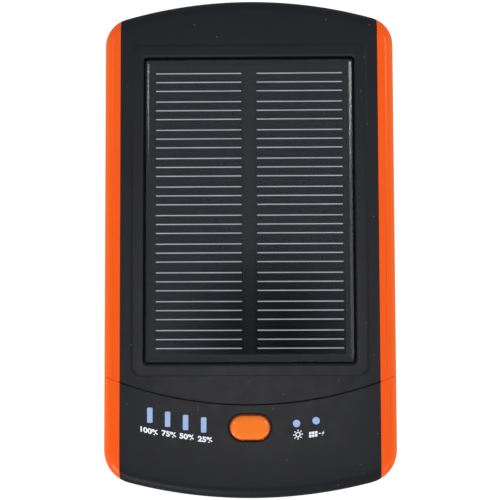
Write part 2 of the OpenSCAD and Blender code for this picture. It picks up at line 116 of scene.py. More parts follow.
PANEL_LO, PANEL_HI = box_mm("panel_resin")
PANEL_Y = (PANEL_LO.y + PANEL_HI.y) / 2
PANEL_W = PANEL_HI.x - PANEL_LO.x
PANEL_L = PANEL_HI.y - PANEL_LO.y
PANEL_CORNER_R = 1.2
PANEL_GAP = 0.15
FRAME_W = 61.5
FRAME_L = 87.0
FRAME_RISE = 0.05
FRAME_Z = FRONT_Z + FRAME_RISE
FRAME_CORNER_R = 3.0
SHELF_Z = box_mm("panel_tape")[0].z
SHELF_T = 1.2

BUTTON_LO, BUTTON_HI = box_mm("power_button")
BUTTON_Y = (BUTTON_LO.y + BUTTON_HI.y) / 2
FLANGE_OUT = 0.8
BUTTON_W = BUTTON_HI.x - BUTTON_LO.x - 2 * FLANGE_OUT
BUTTON_D = BUTTON_HI.y - BUTTON_LO.y - 2 * FLANGE_OUT
SLOT_GAP = 0.35

WINDOW_W = 1.5
WINDOW_L = 4.0
WINDOW_CORNER_R = 0.3
STATUS_D = 2.0
WINDOW_GAP = 0.05


def on_arc(r, degrees):
    """A point on an arc about the seam's centre, that many degrees right of the middle."""
    a = math.radians(degrees)
    return Vector((r * math.sin(a), SEAM_Y - r * math.cos(a)))


# The two rows of windows: distance outside the seam, then first window and step in degrees
LEVEL_OUT, LEVEL_FIRST, LEVEL_STEP = 5.8, -6.48, -2.55
STATUS_OUT, STATUS_FIRST, STATUS_STEP = 5.5, 6.52, 2.75
LEVEL_PLACES = [on_arc(SEAM_R + LEVEL_OUT, LEVEL_FIRST + LEVEL_STEP * i) for i in range(4)]
STATUS_PLACES = [on_arc(SEAM_R + STATUS_OUT, STATUS_FIRST + STATUS_STEP * i) for i in range(2)]

USB_LO, USB_HI = box_mm("usb_shell_right")
MICRO_LO, MICRO_HI = box_mm("micro_usb_shell")
PORT_GAP = 0.25

# The upper and the lower pair of screws, and the four posts that hold the main board
SCREW_PLACES = [
    Vector((sx * x, y))
    for x, y in ((HALF_W - 11, HALF_L - 8.8), (HALF_W - 9, END_Y + 15))
    for sx in (1, -1)
]
POST_PLACES = [Vector((sx * 8.5, END_Y + y)) for y in (7, 21) for sx in (1, -1)]
POST_R = 1.2
BOARD_LO, BOARD_HI = box_mm("main_board")

# The rails' tabs: their places along Y, half length, half thickness and reach into the cover
SIDE_TABS = (-20, 10, 40)
END_TAB = -46
TAB_HALF_L = 3.0
TAB_HALF_T = 1.0
TAB_GAP = 0.05
TAB_REACH = 2.15


# ---------------------------------------------------------------- outlines

def arc(centre, r, start, end, steps):
    """Points along an arc, angles in degrees."""
    angles = [math.radians(start + (end - start) * i / steps) for i in range(steps + 1)]
    return [Vector((centre[0] + r * math.cos(a), centre[1] + r * math.sin(a))) for a in angles]


def half_end(end, inset, bow_steps=22, corner_steps=10):
    """Right half of one end, from the side round to the middle."""
    full_bow_r, full_corner_r = end
    least_corner_r = 2.0
    bow = (0, HALF_L - full_bow_r)
    bow_r = full_bow_r - inset
    corner_r = max(full_corner_r - inset, least_corner_r)
    reach = bow_r - corner_r
    x = HALF_W - inset - corner_r
    lean = math.degrees(math.asin(x / reach))
    corner = (x, bow[1] + reach * math.cos(math.radians(lean)))
    rounded = arc(corner, corner_r, 0, 90 - lean, corner_steps)
    return rounded + arc(bow, bow_r, 90 - lean, 90, bow_steps)[1:]


def case_outline(inset):
    """The case seen from the front, anticlockwise from its right side."""
    top = half_end(TOP_END, inset)
    bottom = [Vector((p.x, -p.y)) for p in half_end(BOTTOM_END, inset)]
    mirrored = [Vector((-p.x, p.y)) for p in top]
    below = [Vector((-p.x, p.y)) for p in bottom]
    return top + mirrored[-2::-1] + below + bottom[-2::-1]


def quarter_turn(steps):
    """Angles from 0 to 90 degrees, in radians."""
    return [math.radians(90 * i / steps) for i in range(steps + 1)]


def corners(x0, x1, y0, y1):
    """A plain rectangle, anticlockwise."""
    return [Vector(p) for p in ((x0, y0), (x1, y0), (x1, y1), (x0, y1))]


def rounded_rect(w, length, r, steps=6):
    points = []
    for quarter, (sx, sy) in enumerate(((1, 1), (-1, 1), (-1, -1), (1, -1))):
        centre = (sx * (w / 2 - r), sy * (length / 2 - r))
        points += arc(centre, r, 90 * quarter, 90 * quarter + 90, steps)
    return points


def stadium(w, d, steps=16):
    return (
        arc(((w - d) / 2, 0), d / 2, -90, 90, steps)
        + arc((-(w - d) / 2, 0), d / 2, 90, 270, steps)
    )


def circle(r, steps=32):
    return arc((0, 0), r, 0, 360, steps)[:-1]


def button_outline(grow):
    return stadium(BUTTON_W + 2 * grow, BUTTON_D + 2 * grow)


def window_outline(grow, corner_r=WINDOW_CORNER_R):
    return rounded_rect(WINDOW_W + 2 * grow, WINDOW_L + 2 * grow, corner_r)


def window_slot(grow):
    """The outline of a charge level window's slot in the cover."""
    gap = WINDOW_GAP + grow
    return window_outline(gap, WINDOW_CORNER_R + gap)


def status_outline(grow):
    return circle(STATUS_D / 2 + grow)


def seam_part(offset, x0, x1, steps):
    """The seam from x0 to x1, moved outwards by offset."""
    r = SEAM_R + offset
    start, end = (270 + math.degrees(math.asin(x / r)) for x in (x0, x1))
    return arc((0, SEAM_Y), r, start, end, steps)


def seam_arc(offset, x):
    """The seam from -x to x, moved outwards by offset, left to right."""
    return seam_part(offset, -x, x, 48)


# ---------------------------------------------------------------- solids and cuts

def new_object(name, bm):
    bmesh.ops.recalc_face_normals(bm, faces=bm.faces)
    mesh = bpy.data.meshes.new(name)
    bm.to_mesh(mesh)
    bm.free()
    obj = bpy.data.objects.new(name, mesh)
    bpy.context.scene.collection.objects.link(obj)
    return obj


def add_loft(bm, loops):
    """A closed solid through loops of 3-D points, with its first and last loop capped."""
    rings = [[bm.verts.new(p) for p in loop] for loop in loops]
    for low, high in zip(rings, rings[1:]):
        for i in range(len(low)):
            j = (i + 1) % len(low)
            bm.faces.new((low[i], low[j], high[j], high[i]))
    bm.faces.new(list(reversed(rings[0])))
    bm.faces.new(rings[-1])


def add_tube(bm, loops):
    """A closed ring-shaped solid: each loop is joined to the next and the last to the first."""
    rings = [[bm.verts.new(p) for p in loop] for loop in loops]
    for near, far in zip(rings, rings[1:] + rings[:1]):
        for i in range(len(near)):
            j = (i + 1) % len(near)
            bm.faces.new((near[i], near[j], far[j], far[i]))


def loft(name, loops):
    bm = bmesh.new()
    add_loft(bm, loops)
    return new_object(name, bm)


def at(points, z, centre=(0, 0)):
    return [Vector((p.x + centre[0], p.y + centre[1], z)) for p in points]


def prism(name, points, z0, z1, centre=(0, 0)):
    return loft(name, [at(points, z0, centre), at(points, z1, centre)])


def box(name, lo, hi):
    return prism(name, corners(lo[0], hi[0], lo[1], hi[1]), lo[2], hi[2])


def prisms(name, points, z0, z1, centres):
    """The same prism at several places, as one object."""
    bm = bmesh.new()
    for c in centres:
        add_loft(bm, [at(points, z0, c), at(points, z1, c)])
    return new_object(name, bm)


def mirror_x(obj):
    obj.data.transform(Matrix.Scale(-1, 4, (1, 0, 0)))
    obj.data.flip_normals()


def drop(obj):
    mesh = obj.data
    bpy.data.objects.remove(obj)
    bpy.data.meshes.remove(mesh)


def apply_modifiers(obj):
    graph = bpy.context.evaluated_depsgraph_get()
    mesh = bpy.data.meshes.new_from_object(obj.evaluated_get(graph), depsgraph=graph)
    obj.modifiers.clear()
    old = obj.data
    obj.data = mesh
    bpy.data.meshes.remove(old)


def combine(obj, other, operation):
    """obj UNION, DIFFERENCE or INTERSECT other, which is used up."""
    cut = obj.modifiers.new("cut", "BOOLEAN")
    cut.object = other
    cut.operation = operation
    cut.solver = "EXACT"
    apply_modifiers(obj)
    drop(other)
    return obj


def rolled(inset, steps):
    """Height from a face and inset of each loop of a rolled edge, from the face outwards."""
    roll = EDGE_R - inset
    return [
        (inset + roll * (1 - math.cos(a)), inset + roll * (1 - math.sin(a)))
        for a in quarter_turn(steps)
    ]


def form(name, inset, steps=5):
    """The case as one solid with rolled edges, shrunk by inset on every side."""
    layers = rolled(inset, steps)
    back = [at(case_outline(shrink), z) for z, shrink in layers]
    front = [at(case_outline(shrink), FRONT_Z - z) for z, shrink in reversed(layers)]
    return loft(name, back + front)


SLOPE = math.radians(CROWN_SLOPE)
CROWN_START = EDGE_R * (1 - math.sin(SLOPE))
CROWN_DROP = math.tan(SLOPE) * CROWN_W ** 2 / (2 * (CROWN_W - CROWN_START))


def crown_z(inset):
    """Height of the front face at that distance from the edge."""
    if inset >= CROWN_W:
        return FRONT_Z
    return FRONT_Z - CROWN_DROP * (1 - inset / CROWN_W) ** 2


def crowned_form(name, steps=10):
    """The outside of the case: rolled edges and a front that falls away towards them."""
    loops = [at(case_outline(shrink), z) for z, shrink in rolled(0, steps)]
    roll_z = crown_z(CROWN_START) - EDGE_R * math.cos(SLOPE)
    for i in range(steps + 1):
        a = (math.pi / 2 - SLOPE) * i / steps
        z = roll_z + EDGE_R * math.sin(a)
        loops.append(at(case_outline(EDGE_R * (1 - math.cos(a))), z))
    for i in range(1, steps + 1):
        inset = CROWN_START + (CROWN_W - CROWN_START) * i / steps
        loops.append(at(case_outline(inset), crown_z(inset)))
    return loft(name, loops)


def cavity():
    """The space inside the covers."""
    inside = box("inside", (-INSIDE_X, -REACH, -REACH), (INSIDE_X, REACH, REACH))
    return combine(form("cavity", WALL), inside, "INTERSECT")


def cylinders(name, r, z0, z1, centres, steps=24):
    return prisms(name, circle(r, steps), z0, z1, centres)


# ---------------------------------------------------------------- finishing a piece

def roll_edges(obj, chosen, width):
    """Rounds the sharp edges whose two ends are both chosen."""
    sharp = math.radians(30)
    bm = bmesh.new()
    bm.from_mesh(obj.data)
    bmesh.ops.remove_doubles(bm, verts=bm.verts, dist=0.004)
    edges = [
        e for e in bm.edges
        if len(e.link_faces) == 2
        and e.calc_face_angle(0) > sharp
        and all(chosen(v.co) for v in e.verts)
    ]
    bmesh.ops.bevel(
        bm, geom=edges, offset=width, segments=3, profile=0.5, affect="EDGES",
        clamp_overlap=False,
    )
    bm.to_mesh(obj.data)
    bm.free()


def smooth(obj):
    """Smooth faces, with sharp edges kept sharp and flat faces kept flat."""
    mesh = obj.data
    mesh.polygons.foreach_set("use_smooth", [True] * len(mesh.polygons))
    mesh.set_sharp_from_angle(angle=math.radians(32))
    weighted = obj.modifiers.new("weighted", "WEIGHTED_NORMAL")
    weighted.keep_sharp = True


def finish_piece(obj, material, body=CASE, replaces=()):
    """Scales the piece to metres, shades it, and puts it on its body."""
    obj.data.transform(Matrix.Scale(MM, 4))
    smooth(obj)
    obj.data.materials.clear()
    obj.data.materials.append(material)
    if replaces:
        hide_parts(*replaces)
    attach(obj, body)
    return obj


# ---------------------------------------------------------------- materials

class Nodes:
    """Short names for building a material's node tree."""

    def __init__(self, name):
        self.material = bpy.data.materials.new(name)
        self.material.use_nodes = True
        self.tree = self.material.node_tree
        self.surface = self.tree.nodes["Principled BSDF"]
        self.place = self.add("ShaderNodeTexCoord").outputs["Object"]

    def add(self, kind, **values):
        node = self.tree.nodes.new(kind)
        for key, value in values.items():
            setattr(node, key, value)
        return node

    def link(self, source, target):
        self.tree.links.new(source, target)

    def set(self, **values):
        for key, value in values.items():
            self.surface.inputs[key.replace("_", " ")].default_value = value

    def noise(self, size_mm, detail=2.0, stretch=(1, 1, 1)):
        """Noise whose features are about size_mm across."""
        mapping = self.add("ShaderNodeMapping")
        mapping.inputs["Scale"].default_value = [s / (size_mm * MM) for s in stretch]
        self.link(self.place, mapping.inputs["Vector"])
        noise = self.add("ShaderNodeTexNoise")
        noise.inputs["Scale"].default_value = 1.0
        noise.inputs["Detail"].default_value = detail
        self.link(mapping.outputs[0], noise.inputs["Vector"])
        return noise.outputs["Fac"]

    def cells(self, size_mm):
        """Distance from the middle of the nearest of many uneven cells."""
        voronoi = self.add("ShaderNodeTexVoronoi")
        voronoi.inputs["Scale"].default_value = 1 / (size_mm * MM)
        self.link(self.place, voronoi.inputs["Vector"])
        return voronoi.outputs["Distance"]

    def spread(self, value, low, high, from_low=0.3, from_high=0.7):
        """Maps noise to a range of values."""
        node = self.add("ShaderNodeMapRange")
        node.inputs["From Min"].default_value = from_low
        node.inputs["From Max"].default_value = from_high
        node.inputs["To Min"].default_value = low
        node.inputs["To Max"].default_value = high
        self.link(value, node.inputs["Value"])
        return node.outputs["Result"]

    def mix(self, factor, first, second):
        """A colour between two others."""
        node = self.add("ShaderNodeMix", data_type="RGBA")
        self.link(factor, node.inputs["Factor"])
        for socket, colour in ((node.inputs["A"], first), (node.inputs["B"], second)):
            if isinstance(colour, (tuple, list)):
                socket.default_value = (*colour, 1)
            else:
                self.link(colour, socket)
        return node.outputs["Result"]

    def blend(self, factor, first, second):
        """Two shaders mixed, as the material's surface."""
        node = self.add("ShaderNodeMixShader")
        for source, socket in zip((factor, first, second), node.inputs):
            self.link(source, socket)
        self.link(node.outputs[0], self.tree.nodes["Material Output"].inputs["Surface"])

    def bump(self, height, depth_mm):
        node = self.add("ShaderNodeBump")
        node.inputs["Distance"].default_value = depth_mm * MM
        self.link(height, node.inputs["Height"])
        self.link(node.outputs[0], self.surface.inputs["Normal"])


def shade_of(colour, factor):
    return tuple(min(c * factor, 1.0) for c in colour)


def moulded(name, colour, rough, grain_mm=0.3, grain_depth=0.004, mottle=0.06, patch_mm=9.0,
            **surface):
    """Moulded plastic or coated metal: a little mottling, uneven gloss and a fine grain."""
    n = Nodes(name)
    patches = n.noise(patch_mm, 3)
    n.link(
        n.mix(n.spread(patches, 0, 1), shade_of(colour, 1 - mottle), shade_of(colour, 1 + mottle)),
        n.surface.inputs["Base Color"],
    )
    n.link(n.spread(n.noise(patch_mm / 3), rough - 0.04, rough + 0.04),
           n.surface.inputs["Roughness"])
    if grain_depth:
        n.bump(n.noise(grain_mm, 3), grain_depth)
    n.set(**surface)
    return n.material


def soft_touch():
    """Rubbery black lacquer: fine grain, low shine and a few pale specks of dust."""
    n = Nodes("soft_touch_black")
    black = (0.0066, 0.0068, 0.0080)
    dust = (0.11, 0.11, 0.115)
    speck_cell_mm = 3.0
    base = n.mix(n.spread(n.noise(14, 3), 0, 1), shade_of(black, 0.92), shade_of(black, 1.1))
    specks = n.cells(speck_cell_mm)
    speck = n.spread(specks, 0.6, 0.0, 0.03, 0.075)
    n.link(n.mix(speck, base, dust), n.surface.inputs["Base Color"])
    n.link(n.spread(n.noise(3), 0.38, 0.43), n.surface.inputs["Roughness"])
    n.bump(n.noise(0.16, 2), 0.003)
    n.set(Specular_IOR_Level=0.13)
    return n.material


def rail_orange():
    """Satin orange, with painted light: a little more yellow along the outermost edge, standing in
    for the light the rolled edge catches.
    """
    n = Nodes("rail_orange")
    orange = (0.83, 0.091, 0.008)
    # The second colour is painted light: the rolled outer edge made more yellow, as it looks where
    # it catches the light.
    painted_edge_light = (0.80, 0.14, 0.011)
    edge_light_w = 1.9
    x = n.add("ShaderNodeSeparateXYZ")
    n.link(n.place, x.inputs[0])
    out = n.add("ShaderNodeMath", operation="ABSOLUTE")
    n.link(x.outputs["X"], out.inputs[0])
    edge = n.spread(out.outputs[0], 0, 1, (HALF_W - edge_light_w) * MM, HALF_W * MM)
    base = n.mix(n.spread(n.noise(9, 3), 0, 1), shade_of(orange, 0.98), shade_of(orange, 1.02))
    # Blends the painted edge light in across the outermost edge.
    n.link(n.mix(edge, base, painted_edge_light), n.surface.inputs["Base Color"])
    n.link(n.spread(n.noise(3), 0.17, 0.23), n.surface.inputs["Roughness"])
    n.bump(n.noise(0.25, 3), 0.0008)
    n.set(Specular_IOR_Level=0.15, Specular_Tint=(1, 0.85, 0.45, 1))
    return n.material


def clear_resin():
    """Clear epoxy: it lets light straight through and mirrors a little, more at a low angle."""
    n = Nodes("clear_resin")
    n.tree.nodes.remove(n.surface)
    clear = n.add("ShaderNodeBsdfTransparent")
    clear.inputs["Color"].default_value = (0.93, 0.94, 0.95, 1)
    gloss = n.add("ShaderNodeBsdfGlossy")
    n.link(n.spread(n.noise(11, 1), 0.10, 0.15), gloss.inputs["Roughness"])
    fresnel = n.add("ShaderNodeFresnel")
    fresnel.inputs["IOR"].default_value = 1.5
    facing = n.add("ShaderNodeNewGeometry").outputs["Backfacing"]
    outside = n.add("ShaderNodeMath", operation="SUBTRACT")
    outside.inputs[0].default_value = 1.0
    n.link(facing, outside.inputs[1])
    share = n.add("ShaderNodeMath", operation="MULTIPLY")
    n.link(fresnel.outputs[0], share.inputs[0])
    n.link(outside.outputs[0], share.inputs[1])
    n.blend(share.outputs[0], clear.outputs[0], gloss.outputs[0])
    return n.material


def silicon():
    """Dark cell strips with a faint crystal pattern."""
    n = Nodes("silicon")
    dark = (0.0028, 0.0029, 0.0034)
    crystal_mm = 4.0
    crystals = n.spread(n.cells(crystal_mm), 0, 1, 0, 1)
    n.link(n.mix(crystals, shade_of(dark, 0.8), shade_of(dark, 1.25)),
           n.surface.inputs["Base Color"])
    n.link(n.spread(n.noise(1.5), 0.35, 0.5), n.surface.inputs["Roughness"])
    n.set(Specular_IOR_Level=0.04)
    return n.material


def brushed(name, colour, rough=0.3, stretch=(1, 12, 12)):
    """Metal with fine marks along one axis."""
    n = Nodes(name)
    marks = n.noise(1.2, 4, stretch)
    n.link(n.mix(n.spread(marks, 0, 1), shade_of(colour, 0.88), shade_of(colour, 1.08)),
           n.surface.inputs["Base Color"])
    n.link(n.spread(marks, rough - 0.06, rough + 0.08), n.surface.inputs["Roughness"])
    n.bump(marks, 0.002)
    n.set(Metallic=1.0)
    return n.material


BLACK = soft_touch()
ORANGE = rail_orange()
BUTTON_ORANGE = moulded("button_orange", (0.87, 0.169, 0.006), 0.14, grain_mm=0.6,
                        grain_depth=0.001, mottle=0.03, Specular_IOR_Level=0.25,
                        Coat_Weight=0.25, Coat_Roughness=0.05)
WINDOW_BLUE = moulded("window_blue", (0.31, 0.43, 0.64), 0.3, grain_mm=0.5,
                      grain_depth=0.002, mottle=0.08, patch_mm=2.0)
INK = moulded("white_ink", (0.82, 0.82, 0.82), 0.5, grain_mm=0.08,
              grain_depth=0.002, mottle=0.03, patch_mm=1.0)
RESIN = clear_resin()
SILICON = silicon()
SILVER = moulded("silver_lines", (0.56, 0.55, 0.52), 0.5, grain_mm=0.2,
                 grain_depth=0.001, mottle=0.12, patch_mm=6.0, Specular_IOR_Level=0.2)
BOARD_BLACK = moulded("board_black", (0.0060, 0.0062, 0.0070), 0.5, grain_depth=0,
                      Specular_IOR_Level=0.05)
BOARD_GREEN = moulded("board_green", (0.015, 0.12, 0.045), 0.35, grain_mm=0.5,
                      grain_depth=0.004, mottle=0.12, patch_mm=5.0)
TAPE = moulded("foam_tape", (0.68, 0.68, 0.63), 0.9, grain_mm=0.25,
               grain_depth=0.03, mottle=0.06, patch_mm=3.0)
WIRE = moulded("wire_jacket", (0.42, 0.02, 0.018), 0.45, grain_mm=0.4, grain_depth=0.003)
WHITE_PLASTIC = moulded("white_insulator", (0.62, 0.62, 0.58), 0.45, grain_depth=0.003)
BLACK_PLASTIC = moulded("black_insulator", (0.016, 0.016, 0.017), 0.45, grain_depth=0.003)
CHIP = moulded("chip_black", (0.013, 0.013, 0.014), 0.6, grain_mm=0.12, grain_depth=0.006)
FERRITE = moulded("ferrite", (0.035, 0.034, 0.036), 0.65, grain_depth=0.015,
                  mottle=0.15, patch_mm=1.0)
LED_BODY = moulded("led_body", (0.74, 0.73, 0.62), 0.3, grain_depth=0.002)
STEEL = brushed("tinned_steel", (0.62, 0.62, 0.64), 0.28)
SCREW_STEEL = brushed("screw_steel", (0.33, 0.33, 0.35), 0.32, stretch=(6, 6, 1))
GOLD = brushed("contact_gold", (0.78, 0.52, 0.17), 0.22)
CAN = brushed("capacitor_can", (0.6, 0.6, 0.62), 0.35, stretch=(1, 1, 10))
FOIL = moulded("battery_foil", (0.5, 0.51, 0.54), 0.32, grain_mm=1.6,
               grain_depth=0.05, mottle=0.05, Metallic=0.9)


# ---------------------------------------------------------------- covers

def cover_blank(name, region, z0, z1):
    """The case's outer shape inside a region seen from the front, hollowed for the inside."""
    blank = combine(crowned_form(name), prism("region", region, z0, z1), "INTERSECT")
    return combine(blank, cavity(), "DIFFERENCE")


def on_seam(offset):
    """Chooses points on the seam moved outwards by offset."""
    centre = Vector((0, SEAM_Y))
    tolerance = 0.03
    return lambda p: abs((p.xy - centre).length - SEAM_R - offset) < tolerance


def roll_seam_edge(cover, offset):
    """Rounds a front cover's edge along the seam."""
    seam_test = on_seam(offset)
    roll_edges(cover, lambda p: seam_test(p) and p.z > PLATE_Z + 0.1, SEAM_EDGE)


def tab_slots():
    """Slots in the covers' side walls for the rails' tabs."""
    half_w = SIDE_WALL / 2 + JOIN
    half_l = TAB_HALF_L + TAB_GAP
    half_t = TAB_HALF_T + TAB_GAP
    bm = bmesh.new()
    for side in (-1, 1):
        for y in (*SIDE_TABS, END_TAB):
            x = side * (COVER_X - SIDE_WALL / 2)
            points = corners(x - half_w, x + half_w, y - half_l, y + half_l)
            add_loft(bm, [at(points, SPLIT_Z - half_t), at(points, SPLIT_Z + half_t)])
    return new_object("tab_slots", bm)


def along_y(points, y, centre):
    """An outline in X and Z, at that y."""
    return [Vector((centre[0] + p.x, y, centre[1] + p.y)) for p in points]


def port_cutters():
    """The sockets' openings through the end wall, from the sockets' boxes."""
    corner_r = 0.75
    cut_l = 5.0
    bm = bmesh.new()
    for lo, hi, sides in ((USB_LO, USB_HI, (-1, 1)), (MICRO_LO, MICRO_HI, (1,))):
        w = hi.x - lo.x + 2 * PORT_GAP
        h = hi.z - lo.z + 2 * PORT_GAP
        outline = rounded_rect(w, h, corner_r)
        for side in sides:
            centre = (side * (lo.x + hi.x) / 2, (lo.z + hi.z) / 2)
            add_loft(bm, [along_y(outline, y, centre) for y in (END_Y - THROUGH, END_Y + cut_l)])
    return new_object("port_cutters", bm)


def smooth_step(t):
    return t * t * (3 - 2 * t)


def panel_rect(out, corner_r, w, length, z):
    """A rounded rectangle about the panel's middle, moved outwards."""
    return at(rounded_rect(w + 2 * out, length + 2 * out, corner_r + out, 8), z, (0, PANEL_Y))


def panel_frame(steps=8):
    """The low frame round the panel, with soft outer slopes."""
    slope_w = 1.3
    foot_z = FRONT_Z - 0.15
    loops = [panel_rect(slope_w / 2, FRAME_CORNER_R, FRAME_W, FRAME_L, PLATE_Z + JOIN)]
    for i in range(steps + 1):
        t = i / steps
        z = foot_z + (FRAME_Z - foot_z) * smooth_step(t)
        loops.append(panel_rect(slope_w * (0.5 - t), FRAME_CORNER_R, FRAME_W, FRAME_L, z))
    return loft("panel_frame", loops)


def pocket_cutter(steps=8):
    """Cuts the panel's pocket, whose rim rounds over into the frame."""
    rim_w = 0.9
    rim_d = 0.16
    corner_r = 1.0
    w = PANEL_W + 2 * PANEL_GAP
    length = PANEL_L + 2 * PANEL_GAP
    loops = [panel_rect(0, corner_r, w, length, SHELF_Z)]
    for a in quarter_turn(steps):
        z = FRAME_Z - rim_d * (1 - math.sin(a))
        loops.append(panel_rect(rim_w * (1 - math.cos(a)), corner_r, w, length, z))
    loops.append(panel_rect(rim_w, corner_r, w, length, FRAME_Z + THROUGH))
    return loft("pocket_cutter", loops)


def flared(name, outline, roll, places):
    """A cutter whose rim opens by roll at the front face; outline(grow) gives its shape."""
    bm = bmesh.new()
    for place in places:
        loops = [at(outline(0), PLATE_Z - THROUGH, place)]
        for a in quarter_turn(5):
            grow = roll * (1 - math.cos(a))
            loops.append(at(outline(grow), FRONT_Z - roll * (1 - math.sin(a)), place))
        loops.append(at(outline(roll), FRONT_Z + THROUGH, place))
        add_loft(bm, loops)
    return new_object(name, bm)


def seam_lip():
    """The lip that runs under the control cover and closes the seam."""
    half_w = 31.0
    top = PLATE_Z - 0.1
    bottom = top - 0.9
    root, neck, tip = -2.5, -1.0, 1.2

    def band(outer, z1):
        points = seam_arc(outer, half_w) + list(reversed(seam_arc(root, half_w)))
        return prism("lip", points, bottom, z1)

    return combine(band(tip, top), band(neck, PLATE_Z + JOIN), "UNION")


def screw_bosses(cover, places):
    """Adds the bosses that the housing screws go up into."""
    boss_r, foot_z = 2.4, 3.4
    combine(cover, cylinders("bosses", boss_r, foot_z, PLATE_Z + JOIN, places), "UNION")


def pilot_holes(cover, places):
    """Cuts the holes in the bosses."""
    pilot_r, bottom_z, top_z = 1.0, 2.0, 11.3
    combine(cover, cylinders("pilots", pilot_r, bottom_z, top_z, places), "DIFFERENCE")


def front_cover():
    seam = seam_arc(-SEAM_GAP / 2, COVER_X)
    region = seam + [Vector((COVER_X, REACH)), Vector((-COVER_X, REACH))]
    cover = cover_blank("front_cover_shell", region, SPLIT_Z, REACH)
    shelf_out, shelf_corner_r = 3.6, 1.0
    shelf = rounded_rect(PANEL_W + shelf_out, PANEL_L + shelf_out, shelf_corner_r)
    combine(cover, prism("shelf", shelf, SHELF_Z - SHELF_T, PLATE_Z + JOIN, (0, PANEL_Y)), "UNION")
    combine(cover, seam_lip(), "UNION")
    top_screws = SCREW_PLACES[:2]
    screw_bosses(cover, top_screws)
    combine(cover, panel_frame(), "UNION")
    combine(cover, pocket_cutter(), "DIFFERENCE")
    lead_x, lead_y, hole_r, hole_l = 3.0, -22.0, 1.2, 3.0
    leads = [Vector((x, lead_y)) for x in (-lead_x, lead_x)]
    lead_holes = cylinders("lead_holes", hole_r, SHELF_Z - hole_l, SHELF_Z + THROUGH, leads)
    combine(cover, lead_holes, "DIFFERENCE")
    pilot_holes(cover, top_screws)
    combine(cover, tab_slots(), "DIFFERENCE")
    roll_seam_edge(cover, -SEAM_GAP / 2)
    return finish_piece(cover, BLACK, replaces=["front_cover"])


def control_cover():
    seam = seam_arc(SEAM_GAP / 2, COVER_X)
    region = [Vector((-COVER_X, -REACH)), Vector((COVER_X, -REACH))] + list(reversed(seam))
    cover = cover_blank("control_cover_shell", region, SPLIT_Z, REACH)
    bottom_screws = SCREW_PLACES[2:]
    screw_bosses(cover, bottom_screws)
    posts = cylinders("posts", POST_R, BOARD_HI.z, PLATE_Z + JOIN, POST_PLACES)
    combine(cover, posts, "UNION")
    button_place = Vector((0, BUTTON_Y))
    # Each kind of slot: its outline, the roll of its rim and its places
    for name, outline, roll, places in (
        ("button_slot", lambda grow: button_outline(SLOT_GAP + grow), 0.45, [button_place]),
        ("window_slots", window_slot, 0.08, LEVEL_PLACES),
        ("status_slots", lambda grow: status_outline(WINDOW_GAP + grow), 0.08, STATUS_PLACES),
    ):
        combine(cover, flared(name, outline, roll, places), "DIFFERENCE")
    combine(cover, port_cutters(), "DIFFERENCE")
    pilot_holes(cover, bottom_screws)
    combine(cover, tab_slots(), "DIFFERENCE")
    roll_seam_edge(cover, SEAM_GAP / 2)
    return finish_piece(cover, BLACK, replaces=["control_cover"])


def back_cover():
    region = corners(-COVER_X, COVER_X, -REACH, REACH)
    cover = cover_blank("back_cover_shell", region, -REACH, SPLIT_Z)
    foot_z = WALL - JOIN
    boss_r, boss_top = 3.0, 3.3
    head_r, head_d = 2.1, 1.8
    shaft_r, shaft_top = 1.15, 5.0
    combine(cover, cylinders("bosses", boss_r, foot_z, boss_top, SCREW_PLACES), "UNION")
    combine(cover, cylinders("posts", POST_R, foot_z, BOARD_LO.z, POST_PLACES), "UNION")
    heads = cylinders("heads", head_r, -THROUGH, head_d, SCREW_PLACES, 40)
    combine(cover, heads, "DIFFERENCE")
    shafts = cylinders("shafts", shaft_r, -THROUGH, shaft_top, SCREW_PLACES)
    combine(cover, shafts, "DIFFERENCE")
    combine(cover, port_cutters(), "DIFFERENCE")
    combine(cover, tab_slots(), "DIFFERENCE")
    tolerance = 0.05

    def on_rim(p):
        return p.z < tolerance and any(
            abs((p.xy - place).length - head_r) < tolerance for place in SCREW_PLACES)

    rim_roll = 0.25
    roll_edges(cover, on_rim, rim_roll)
    return finish_piece(cover, BLACK, replaces=["back_cover"])


# ---------------------------------------------------------------- rails

def rail(side, above):
    """One rail: the case's outer shape beside the covers, hollowed from inside."""
    offset = (-1 if above else 1) * RAIL_SEAM_GAP / 2
    past_x = HALF_W + 6
    far_y = REACH if above else -REACH
    region = seam_part(offset, COVER_X, past_x, 12)
    region += [Vector((past_x, far_y)), Vector((COVER_X, far_y))]
    name = ("side" if above else "end") + ("_rail_right" if side > 0 else "_rail_left")
    piece = combine(crowned_form(name + "_shell"), prism("region", region, -REACH, REACH),
                    "INTERSECT")
    combine(piece, form("hollow", RAIL_WALL), "DIFFERENCE")
    bm = bmesh.new()
    inner_x = HALF_W - RAIL_WALL
    for y in SIDE_TABS if above else (END_TAB,):
        points = corners(COVER_X - TAB_REACH, inner_x + JOIN, y - TAB_HALF_L, y + TAB_HALF_L)
        add_loft(bm, [at(points, SPLIT_Z - TAB_HALF_T), at(points, SPLIT_Z + TAB_HALF_T)])
    combine(piece, new_object("tabs", bm), "UNION")
    seam_test = on_seam(offset)

    def outside(p):
        return seam_test(p) and (p.x > inner_x + 0.1 or not RAIL_WALL < p.z < FRONT_Z - RAIL_WALL)

    roll_edges(piece, outside, SEAM_EDGE)
    if side < 0:
        mirror_x(piece)
    return finish_piece(piece, ORANGE, replaces=[name])


# ---------------------------------------------------------------- solar panel

# The resin's shoulder: distance in from the panel's edge and slope there, in degrees
SHOULDER = ((0.0, 75), (0.2, 31), (0.7, 25), (1.3, 18), (2.6, 0))


def resin_profile(steps=5):
    """Distance from the panel's edge and height of each loop of its rounded shoulder."""
    profile = [(SHOULDER[-1][0], PANEL_HI.z)]
    for (outer, outer_slope), (inner, inner_slope) in reversed(list(zip(SHOULDER, SHOULDER[1:]))):
        step = (inner - outer) / steps
        for i in range(steps):
            t = (i + 0.5) / steps
            slope = math.radians(inner_slope + (outer_slope - inner_slope) * t)
            inset, z = profile[-1]
            profile.append((inset - step, z - step * math.tan(slope)))
    return list(reversed(profile))


